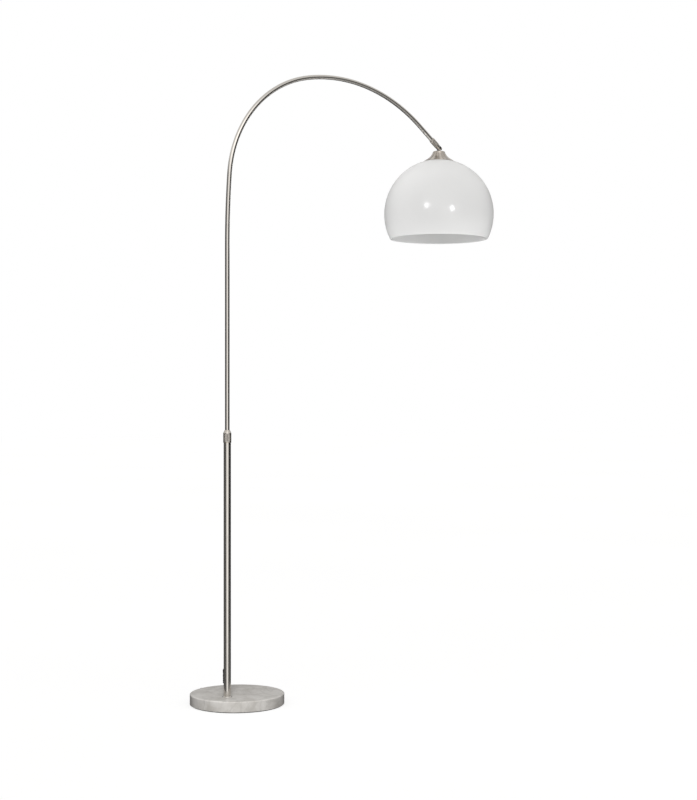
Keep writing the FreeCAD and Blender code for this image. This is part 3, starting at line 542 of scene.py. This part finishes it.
# the cap's colour carries painted reflection streaks, darker by up to 0.42
CAP_METAL = metal("cap_nickel", (0.62, 0.565, 0.505), 0.27, "UV", AROUND, 0.10, 0.3, 0.08, 0.42)
PART_METAL = metal("part_nickel", NICKEL, 0.2, "Object", (900, 900, 900))
ZINC = metal("zinc", (0.58, 0.59, 0.60), 0.38, "Object", (500, 500, 500), 0.1)
DARK_STEEL = metal("dark_steel", (0.14, 0.135, 0.13), 0.35, "Object", (900, 900, 900))
BRASS = metal("brass", (0.72, 0.53, 0.25), 0.28, "Object", (900, 900, 60))
ALUMINIUM = metal("aluminium", (0.74, 0.74, 0.75), 0.28, "Object", (900, 900, 60))
BRIGHT_NICKEL = metal("bright_nickel", (0.74, 0.72, 0.69), 0.14, "Object", (500, 500, 500), 0.04)
PAINTED_STEEL = moulded("painted_steel", (0.03, 0.03, 0.032), 0.45, 300.0, 0.2)
MARBLE = marble()
OPAL = acrylic()
FLEX = moulded("flex_sheath", (0.018, 0.018, 0.019), 0.42, 1300.0, 0.15)
PVC = moulded("black_pvc", (0.020, 0.020, 0.021), 0.5, 1100.0, 0.2)
GLOSS_BLACK = moulded("gloss_black", (0.022, 0.022, 0.024), 0.22, 500.0, 0.05)
WHITE_PLASTIC = moulded("white_plastic", (0.78, 0.77, 0.74), 0.4, 700.0, 0.08)
NYLON = moulded("nylon", (0.74, 0.72, 0.66), 0.45, 700.0, 0.08)
PORCELAIN = moulded("porcelain", (0.82, 0.81, 0.78), 0.25, 200.0, 0.05)
FELT = felt()
GLASS = frosted_glass()

SLOT_LOOK = {
    "felt": FELT, "black_steel": PAINTED_STEEL, "marble": MARBLE, "zinc_steel": ZINC, "nickel": PART_METAL,
    "nickel_knurled": PART_METAL, "nickel_cap": PART_METAL, "dark_steel": DARK_STEEL, "brass": BRASS,
    "nylon": NYLON, "tie_nylon": PVC, "flex": FLEX, "black_pvc": PVC, "black_gloss": GLOSS_BLACK,
    "holder_plastic": WHITE_PLASTIC, "porcelain": PORCELAIN, "shade_white": OPAL, "bulb_frosted": GLASS,
    "bulb_metal": ALUMINIUM, "plug_nickel": BRIGHT_NICKEL,
}


def dress_frame():
    """Every CAD node takes the look of its record slot."""
    slots = {s["node"]: s["material_slot"] for s in frame["record"]["subparts"]}
    for node, item in frame["nodes"].items():
        look = SLOT_LOOK[slots[node]]
        if not item.data.materials:
            item.data.materials.append(look)
        for i in range(len(item.data.materials)):
            item.data.materials[i] = look


dress_frame()
CORD = make_cord(FLEX)

# ---------------------------------------------------------------- stand

EDGE_ROUND = 0.0032
DISC_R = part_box("marble_base")[1].x
DISC_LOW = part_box("marble_base")[0].z
LOWER_ROUND = 0.0012
RECESS_R = 0.1125
RECESS_DEPTH = 0.009
HAIR_GAP = 0.00005
POLE_R = 0.0095
POLE_BORE_R = 0.0083
POLE_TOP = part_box("lower_pole")[1].z
POLE_GAP = 0.0001
POLE_SOFT = 0.0003
ROSETTE_T = 0.0026
# radius, height over the marble and fillet radius
ROSETTE_EDGE = ((0.0129, HAIR_GAP, 0.0004), (0.0129, 0.0016, 0.0008), (0.0112, 0.0018, 0.0004),
                (0.0106, ROSETTE_T, 0.0006))
SLACK_PARTS = 12


def marble_disc():
    """Polished disc with a soft upper edge, a smaller round below and its recess underneath."""
    recess_top = DISC_LOW + RECESS_DEPTH
    outline = rounded([
        (0.0, recess_top), (RECESS_R, recess_top), (RECESS_R, DISC_LOW), (DISC_R, DISC_LOW, LOWER_ROUND),
        (DISC_R, BASE_TOP, EDGE_ROUND), (0.0, BASE_TOP),
    ], closed=False, steps=8)
    return lathe("marble_disc", "stand", MARBLE, "marble", ["marble_base"], Vector((0, 0, 0)), outline,
                 segments=256, closed=False)


def foot_rosette():
    """Small bead-edged rosette round the pole's foot."""
    bore = POLE_R + HAIR_GAP
    edge = [(radius, BASE_TOP + rise, fillet) for radius, rise, fillet in ROSETTE_EDGE]
    outline = rounded([(bore, BASE_TOP + HAIR_GAP), *edge, (bore, BASE_TOP + ROSETTE_T, 0.0003)])
    lathe("foot_rosette", "stand", BRIGHT_NICKEL, "nickel", ["pole_flange"], POLE, outline, segments=128)


def pole_shell():
    """The lower tube, its cut ends softened."""
    low = BASE_TOP + POLE_GAP
    corners = ((POLE_R, low), (POLE_R, POLE_TOP), (POLE_BORE_R, POLE_TOP), (POLE_BORE_R, low))
    outline = rounded([(*corner, POLE_SOFT) for corner in corners])
    lathe("pole_shell", "stand", TUBE_METAL, "nickel", ["lower_pole"], POLE, outline, segments=128)


def slack_flex():
    """The slack of the flex inside the pole, drawn as a straight rod in even lengths; on the lamp it folds up as
    the arm slides down.
    """
    low, high = (corner.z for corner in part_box("pole_flex"))
    outline = [Vector((0.0, low)), Vector((FLEX_R, low))]
    for i in range(1, SLACK_PARTS + 1):
        outline.append(Vector((FLEX_R, low + (high - low) * i / SLACK_PARTS)))
    outline.append(Vector((0.0, high)))
    piece = lathe("slack_flex", "stand", FLEX, "flex", ["pole_flex"], POLE, outline, segments=32,
                  closed=False)
    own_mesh(piece)


DISC = marble_disc()
foot_rosette()
pole_shell()
slack_flex()

# ---------------------------------------------------------------- collar

COLLAR_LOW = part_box("collar_nut")[0].z
COLLAR_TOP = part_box("collar_nut")[1].z
COLLAR_R = 0.0106
COLLAR_SHOULDER = 0.7193
COLLAR_TOP_R = 0.0070
COLLAR_BORE_R = 0.00886
COLLAR_BORE_TOP = COLLAR_TOP - 0.0070
COLLAR_NOSE_R = 0.0063
COLLAR_NOSE_T = 0.0012
COLLAR_LOW_LIP = 0.0016
COLLAR_HIGH_LIP = 0.0007
COLLAR_KNURLS = 44
COLLAR_STEPS = 16
KNURL_DEPTH = 0.00028
KNURL_FADE = 0.0006
KNURL_SHAPE = 0.7
KNURL_SEGMENTS = 8


def knurl(count, depth, low, high):
    """Ripple of straight knurls between two heights, fading at their ends."""
    def ripple(angle, height):
        fade = clamped((height - low) / KNURL_FADE) * clamped((high - height) / KNURL_FADE)
        return -depth * fade * (0.5 + 0.5 * math.cos(count * angle)) ** KNURL_SHAPE
    return ripple


def collar():
    """Knurled clamping nut with a plain lip below and a smooth cone above."""
    low = COLLAR_LOW + COLLAR_LOW_LIP
    high = COLLAR_SHOULDER - COLLAR_HIGH_LIP
    outline = rounded([
        (COLLAR_BORE_R, COLLAR_BORE_TOP), (COLLAR_BORE_R, COLLAR_LOW, 0.0002),
        (COLLAR_R, COLLAR_LOW, 0.0005), (COLLAR_R, low - 0.0001),
    ], closed=False)
    outline += straight(COLLAR_R, low, high, COLLAR_STEPS)
    outline += rounded([
        (COLLAR_R, high + 0.0002), (COLLAR_R, COLLAR_SHOULDER, 0.0012), (COLLAR_TOP_R, COLLAR_TOP, 0.0005),
        (COLLAR_NOSE_R, COLLAR_TOP, 0.0002), (COLLAR_NOSE_R, COLLAR_TOP - COLLAR_NOSE_T),
    ], closed=False)
    lathe("knurled_collar", "collar", KNURL_METAL, "nickel_knurled", ["collar_nut"], POLE, outline,
          segments=COLLAR_KNURLS * KNURL_SEGMENTS, ripple=knurl(COLLAR_KNURLS, KNURL_DEPTH, low, high))


collar()

# ---------------------------------------------------------------- arm

ARM_R = 0.006
ARM_LOW = 0.585
BOW_START = 1.2072
BOW_TURN = 4.0
BOW_LEN = 0.190
BOW_R = BOW_LEN / math.radians(BOW_TURN)
ARC1_R = 0.3102
ARC1_TURN = 73.9
ARC2_R = 0.4579
ARC2_TURN = 50.8
END_TURN = BOW_TURN + ARC1_TURN + ARC2_TURN
HEADING = Vector((math.sin(math.radians(END_TURN)), 0, math.cos(math.radians(END_TURN))))
SIDE = Vector((0, 1, 0))
ARM_SEGMENTS = 56
STEPS_A_DEGREE = 4
SLEEVE_R = 0.0078
SLEEVE_FAR = 0.034
SLEEVE_NEAR = 0.009
SLEEVE_BORE_R = ARM_R + 0.00003
SLEEVE_LIP = 0.0030
SLEEVE_KNURLS = 30
SLEEVE_KNURL_DEPTH = 0.0003
SLEEVE_STEPS = 14
TUBE_SET_BACK = 0.003


def arm_line(end_gap):
    """Points and headings of the arm's centreline up to a gap before the pivot."""
    line = [(on_pole(ARM_LOW), Vector(UP)), (on_pole(BOW_START), Vector(UP))]
    place = line[-1][0]
    turn = 0.0
    for radius, degrees in ((BOW_R, BOW_TURN), (ARC1_R, ARC1_TURN), (ARC2_R, ARC2_TURN)):
        start = math.radians(turn)
        centre = place + Vector((math.cos(start), 0, -math.sin(start))) * radius
        steps = int(degrees * STEPS_A_DEGREE)
        for k in range(1, steps + 1):
            a = math.radians(turn + degrees * k / steps)
            spot = centre + Vector((-math.cos(a), 0, math.sin(a))) * radius
            line.append((spot, Vector((math.sin(a), 0, math.cos(a)))))
        place = line[-1][0]
        turn += degrees
    line.append((PIVOT - HEADING * end_gap, HEADING))
    return line


def arm_sweep():
    """The bent arm tube as one clean, finely stepped sweep."""
    rings = []
    angles = [TAU * i / ARM_SEGMENTS for i in range(ARM_SEGMENTS)]
    for place, heading in arm_line(SLEEVE_NEAR + TUBE_SET_BACK):
        out = heading.cross(SIDE)
        rings.append([place + (SIDE * math.cos(a) + out * math.sin(a)) * ARM_R for a in angles])
    build = bmesh.new()
    skin(build, rings)
    finish_mesh("arm_sweep", build, "arm", TUBE_METAL, ["arm_tube"])


def end_sleeve():
    """Knurled sleeve where the tube ends, with plain lips and softened ends."""
    length = SLEEVE_FAR - SLEEVE_NEAR
    low = SLEEVE_LIP
    high = length - SLEEVE_LIP
    ripple = knurl(SLEEVE_KNURLS, SLEEVE_KNURL_DEPTH, low, high)
    outline = rounded([(SLEEVE_BORE_R, 0.0, 0.0002), (SLEEVE_R, 0.0, 0.0008), (SLEEVE_R, low - 0.0001)],
                      closed=False)
    outline += straight(SLEEVE_R, low, high, SLEEVE_STEPS)
    outline += rounded([(SLEEVE_R, high + 0.0001), (SLEEVE_R, length, 0.0006), (SLEEVE_BORE_R, length)],
                       closed=False)
    lathe("end_sleeve", "arm", KNURL_METAL, "nickel_knurled", ["head_sleeve"], PIVOT - HEADING * SLEEVE_FAR,
          outline, segments=SLEEVE_KNURLS * KNURL_SEGMENTS, ripple=ripple, x=SIDE, z=HEADING)


arm_sweep()
end_sleeve()

# ---------------------------------------------------------------- head

CAP_TOP = PIVOT - Vector((0, 0, 0.0094))
CAP_WALL = 0.0010
STEM_HOLE_R = 0.0052
SHADE_R = 0.157
SHADE_WALL = 0.0025
SHADE_DROP = 0.1903
SHADE_DEPTH = 0.070
SHADE_HOLE_R = 0.0206
SHADE_STEPS = 110
BULB_R = 0.030
BULB_LOW = 0.160
BULB_TOP = 0.080
# radius and rise over the bulb's centre
BULB_NECK = ((0.0262, 0.018), (0.0180, 0.036))
BULB_NECK_R = 0.0140
# radius and height from the cap's top
BELL_SHOULDER = (0.0130, -0.0048)
BELL_SHOULDER_R = 0.0048
BELL_OUTSIDE = ((0.0178, -0.0048), (0.0207, -0.0099), (0.0281, -0.0186), (0.0427, -0.0284))
BELL_LIP = (0.0424, -0.0290)
BELL_LIP_R = 0.0006
BELL_INSIDE = ((0.0416, -0.0286), (0.0274, -0.0191), (0.0198, -0.0101), (0.0168, -0.0052))


def bell():
    """Spun bell: round shoulder, long flare and a lip turned under at its edge."""
    outer = [Vector((STEM_HOLE_R, 0.0))] + arc(BELL_SHOULDER, BELL_SHOULDER_R, 90, 0, 12)
    outer += smooth_line(BELL_OUTSIDE, 10)[1:]
    outer += arc(BELL_LIP, BELL_LIP_R, 50, -130, 8)
    inner = smooth_line(BELL_INSIDE, 10)
    inner += arc(BELL_SHOULDER, BELL_SHOULDER_R - CAP_WALL, 0, 90, 8) + [Vector((STEM_HOLE_R, -CAP_WALL))]
    lathe("bell", "head", CAP_METAL, "nickel_cap", ["bell_cap"], CAP_TOP, outer + inner, segments=192)


def dome():
    """Truncated acrylic sphere with a real wall, a rounded rim and a straight-cut neck hole."""
    inner_r = SHADE_R - SHADE_WALL
    rim_out = -math.degrees(math.asin(SHADE_DEPTH / SHADE_R))
    rim_in = -math.degrees(math.asin(SHADE_DEPTH / inner_r))
    hole_out = math.degrees(math.acos(SHADE_HOLE_R / SHADE_R))
    hole_in = math.degrees(math.acos(SHADE_HOLE_R / inner_r))
    outer = arc((0, 0), SHADE_R, hole_out, rim_out, SHADE_STEPS)
    inner = arc((0, 0), inner_r, rim_in, hole_in, SHADE_STEPS)
    rim_middle = (outer[-1] + inner[0]) / 2
    span = (outer[-1] - inner[0]).length / 2
    tilt = math.degrees(math.atan2(outer[-1].y - inner[0].y, outer[-1].x - inner[0].x))
    rim = arc(rim_middle, span, tilt, tilt - 180, 8)[1:-1]
    return lathe("dome", "head", OPAL, "shade_white", ["shade"], PIVOT - Vector((0, 0, SHADE_DROP)),
                 outer + rim + inner, segments=192)


def bulb():
    """Frosted round bulb, its neck running into the cap."""
    centre = -BULB_LOW + BULB_R
    outline = arc((0, centre), BULB_R, -90, 0, 24)
    neck = [(radius, centre + rise) for radius, rise in BULB_NECK]
    outline += smooth_line([(BULB_R, centre), *neck, (BULB_NECK_R, -BULB_TOP)], 10)[1:]
    outline.append(Vector((0.0, -BULB_TOP)))
    lathe("bulb", "head", GLASS, "bulb_frosted", ["bulb_glass"], PIVOT, outline, segments=96, closed=False)


bell()
DOME = dome()
bulb()

# ---------------------------------------------------------------- strain relief

GLAND_ELBOW_Z = 0.0970
GLAND_LEG = GLAND_ELBOW_Z - GLAND_EXIT.z
GLAND_TOP_R = 0.0056
GLAND_END_R = 0.0051
GLAND_RIBS = 5
RIB_SPACING = GLAND_LEG * 0.72 / GLAND_RIBS
RIB_START = 0.0008
RIB_DEPTH = 0.0008
RIB_FILLET = 0.0004
PLATE_GAP = 0.0005
PLATE_R = 0.0054
PLATE_T = 0.0016
BLOCK_R = 0.0046
STUB_R = 0.0039
STUB_START = 0.0085


def gland_leg():
    """Outline of the tapered leg: ribs on its lower part, smooth above, domed at the elbow."""
    outline = [Vector((FLEX_R, 0.0)), Vector((GLAND_END_R - 0.0002, 0.0))]
    for i in range(GLAND_RIBS):
        low = RIB_START + RIB_SPACING * i
        radius = GLAND_END_R + (GLAND_TOP_R - GLAND_END_R) * (low / GLAND_LEG)
        outline += rounded([
            (radius - RIB_DEPTH, low), (radius, low, RIB_FILLET),
            (radius + 0.0002, low + RIB_SPACING * 0.62, RIB_FILLET),
            (radius - RIB_DEPTH, low + RIB_SPACING * 0.66), (radius - RIB_DEPTH, low + RIB_SPACING * 0.96),
        ], closed=False, steps=3)
    outline += [Vector((GLAND_TOP_R - 0.0004, GLAND_LEG * 0.78))]
    return outline + arc((0, GLAND_LEG), GLAND_TOP_R, -8, 90, 14)


def strain_relief():
    """Moulded elbow: a plate on the pole, a stub into it, and the leg that the cord runs out of."""
    on_axis = on_pole(GLAND_ELBOW_Z)
    elbow = Vector((GLAND_EXIT.x, GLAND_EXIT.y, GLAND_ELBOW_Z))
    face = POLE_R + PLATE_GAP
    reach = (elbow - on_axis).length
    build = bmesh.new()
    turned(build, elbow - UP * GLAND_LEG, gland_leg(), segments=64, closed=False)
    plate = rounded([
        (0.0, face), (PLATE_R, face, 0.0003), (PLATE_R, face + PLATE_T, 0.0004),
        (BLOCK_R, face + 0.0020, 0.0003), (BLOCK_R, reach), (0.0, reach),
    ], closed=False)
    turned(build, on_axis, plate, segments=64, closed=False, x=UP, z=GLAND_OUT)
    stub = [Vector(p) for p in ((0.0, STUB_START), (STUB_R, STUB_START), (STUB_R, face), (0.0, face))]
    turned(build, on_axis, stub, segments=48, closed=False, x=UP, z=GLAND_OUT)
    finish_mesh("strain_relief", build, "stand", PVC, ["cord_gland"])


strain_relief()

# ---------------------------------------------------------------- floor, world and lights

ACROSS = lay(1.0, 0.0)
TO_CAMERA = lay(0.0, -1.0)
FLOOR_SIZE = 30.0
FLOOR_GLOW = 0.80


def towards(azimuth, elevation):
    """A direction: azimuth from the camera's side, positive to its right, and height, in degrees."""
    a = math.radians(azimuth)
    e = math.radians(elevation)
    return (TO_CAMERA * math.cos(a) + ACROSS * math.sin(a)) * math.cos(e) + UP * math.sin(e)


def make_floor():
    """Pale floor, seen by the camera alone: it doesn't glare in the metal or stop the light from below."""
    mesh = bpy.data.meshes.new("floor")
    build = bmesh.new()
    bmesh.ops.create_grid(build, x_segments=8, y_segments=8, size=FLOOR_SIZE)
    build.to_mesh(mesh)
    build.free()
    floor = bpy.data.objects.new("floor", mesh)
    bpy.context.scene.collection.objects.link(floor)
    material, tree, shader = nodes_of("floor")
    clouds = noise(tree, place_of(tree), 0.6, 2.0)
    tree.links.new(ramp(tree, clouds, [(0.3, 0.40), (0.7, 0.42)]), shader.inputs["Base Color"])
    shader.inputs["Roughness"].default_value = 1.0
    shader.inputs["Specular IOR Level"].default_value = 0.0
    shader.inputs["Emission Color"].default_value = (1, 1, 1, 1)
    shader.inputs["Emission Strength"].default_value = FLOOR_GLOW
    mesh.materials.append(material)
    floor.visible_glossy = False
    floor.visible_diffuse = False
    floor.visible_shadow = False


# where a card hangs, how squarely a ray meets it at its edge and where it is full, and its strength
STUDIO = (
    (towards(9, 15), 0.68, 0.92, 1.05),
    (UP, 0.12, 0.50, 0.75),
    (towards(-78, 4), 0.50, 0.95, 0.09),
    (towards(72, -40), 0.80, 0.98, 0.30),
    (towards(0, -40), 0.60, 0.95, 0.30),
)
STUDIO_DARK = 0.03
MATT_SHARE = 0.6


def calc(tree, operation, a, b):
    """One arithmetic node; each input is a number or another node's output."""
    node = tree.nodes.new("ShaderNodeMath")
    node.operation = operation
    for value, socket in ((a, node.inputs[0]), (b, node.inputs[1])):
        if isinstance(value, float):
            socket.default_value = value
        else:
            tree.links.new(value, socket)
    return node.outputs[0]


def background(tree, colour):
    node = tree.nodes.new("ShaderNodeBackground")
    node.inputs["Color"].default_value = (*colour, 1)
    return node


def studio_light(tree):
    """The dark studio's own light with every card's glow added to it."""
    place = tree.nodes.new("ShaderNodeTexCoord")
    total = STUDIO_DARK
    for direction, low, high, strength in STUDIO:
        facing = tree.nodes.new("ShaderNodeVectorMath")
        facing.operation = "DOT_PRODUCT"
        facing.inputs[1].default_value = direction
        tree.links.new(place.outputs["Generated"], facing.inputs[0])
        card = tree.nodes.new("ShaderNodeMapRange")
        card.interpolation_type = "SMOOTHSTEP"
        card.inputs["From Min"].default_value = low
        card.inputs["From Max"].default_value = high
        card.inputs["To Min"].default_value = 0.0
        card.inputs["To Max"].default_value = strength
        tree.links.new(facing.outputs["Value"], card.inputs["Value"])
        total = calc(tree, "ADD", card.outputs["Result"], total)
    return total


def make_world():
    """White to the eye; in reflections and on surfaces, a dark studio with soft bright cards."""
    world = bpy.data.worlds.new("studio")
    bpy.context.scene.world = world
    world.use_nodes = True
    world.cycles.sampling_method = "NONE"
    tree = world.node_tree
    tree.nodes.clear()
    rays = tree.nodes.new("ShaderNodeLightPath")
    matt = tree.nodes.new("ShaderNodeMapRange")
    matt.inputs["To Min"].default_value = 1.0
    matt.inputs["To Max"].default_value = MATT_SHARE
    tree.links.new(rays.outputs["Is Diffuse Ray"], matt.inputs["Value"])
    dimmed = calc(tree, "MULTIPLY", studio_light(tree), matt.outputs["Result"])
    studio = background(tree, (1.0, 0.99, 0.975))
    tree.links.new(dimmed, studio.inputs["Strength"])
    both = tree.nodes.new("ShaderNodeMixShader")
    tree.links.new(rays.outputs["Is Camera Ray"], both.inputs[0])
    tree.links.new(studio.outputs[0], both.inputs[1])
    tree.links.new(background(tree, (1.0, 1.0, 1.0)).outputs[0], both.inputs[2])
    out = tree.nodes.new("ShaderNodeOutputWorld")
    tree.links.new(both.outputs[0], out.inputs[0])


def make_lamp(name, target, azimuth, elevation, distance, size, power, shine, only):
    """Round soft light on one piece: either a shine seen in its gloss or a fill on its matt surface."""
    place = target + towards(azimuth, elevation) * distance
    data = bpy.data.lights.new(name, "AREA")
    data.shape = "DISK"
    data.size = size
    data.energy = power
    light = bpy.data.objects.new(name, data)
    light.location = place
    light.rotation_euler = (target - place).to_track_quat("-Z", "Y").to_euler()
    light.visible_glossy = shine
    light.visible_diffuse = not shine
    light.visible_transmission = not shine
    bpy.context.scene.collection.objects.link(light)
    lit = bpy.data.collections.new(name + "_lit")
    lit.objects.link(only)
    light.light_linking.receiver_collection = lit


make_floor()
make_world()
DOME_MIDDLE = PIVOT - UP * SHADE_DROP
BASE_MIDDLE = Vector((0, 0, BASE_TOP))
# name, aimed at, azimuth, elevation, distance, size, power, whether it is a shine, the piece it lights
make_lamp("strobe_left", DOME_MIDDLE, -28.5, 12.0, 3.2, 0.40, 24.0, True, DOME)
make_lamp("strobe_right", DOME_MIDDLE, 24.0, 5.5, 3.2, 0.38, 24.0, True, DOME)
make_lamp("dome_left", DOME_MIDDLE, -95.0, 10.0, 3.0, 2.4, 58.0, False, DOME)
make_lamp("dome_right", DOME_MIDDLE, 100.0, 0.0, 3.0, 2.4, 38.0, False, DOME)
make_lamp("dome_below", DOME_MIDDLE, 0.0, -88.0, 3.0, 3.0, 135.0, False, DOME)
make_lamp("dome_above", DOME_MIDDLE, 0.0, 60.0, 3.2, 2.4, 14.0, False, DOME)
make_lamp("dome_front", DOME_MIDDLE, 0.0, 14.0, 3.0, 1.4, 38.0, False, DOME)
make_lamp("dome_back", DOME_MIDDLE, 180.0, 0.0, 3.0, 2.4, 31.0, False, DOME)
make_lamp("base_key", BASE_MIDDLE, 2.0, 32.0, 4.0, 1.0, 112.0, False, DISC)
bpy.context.scene.view_settings.view_transform = "Standard"
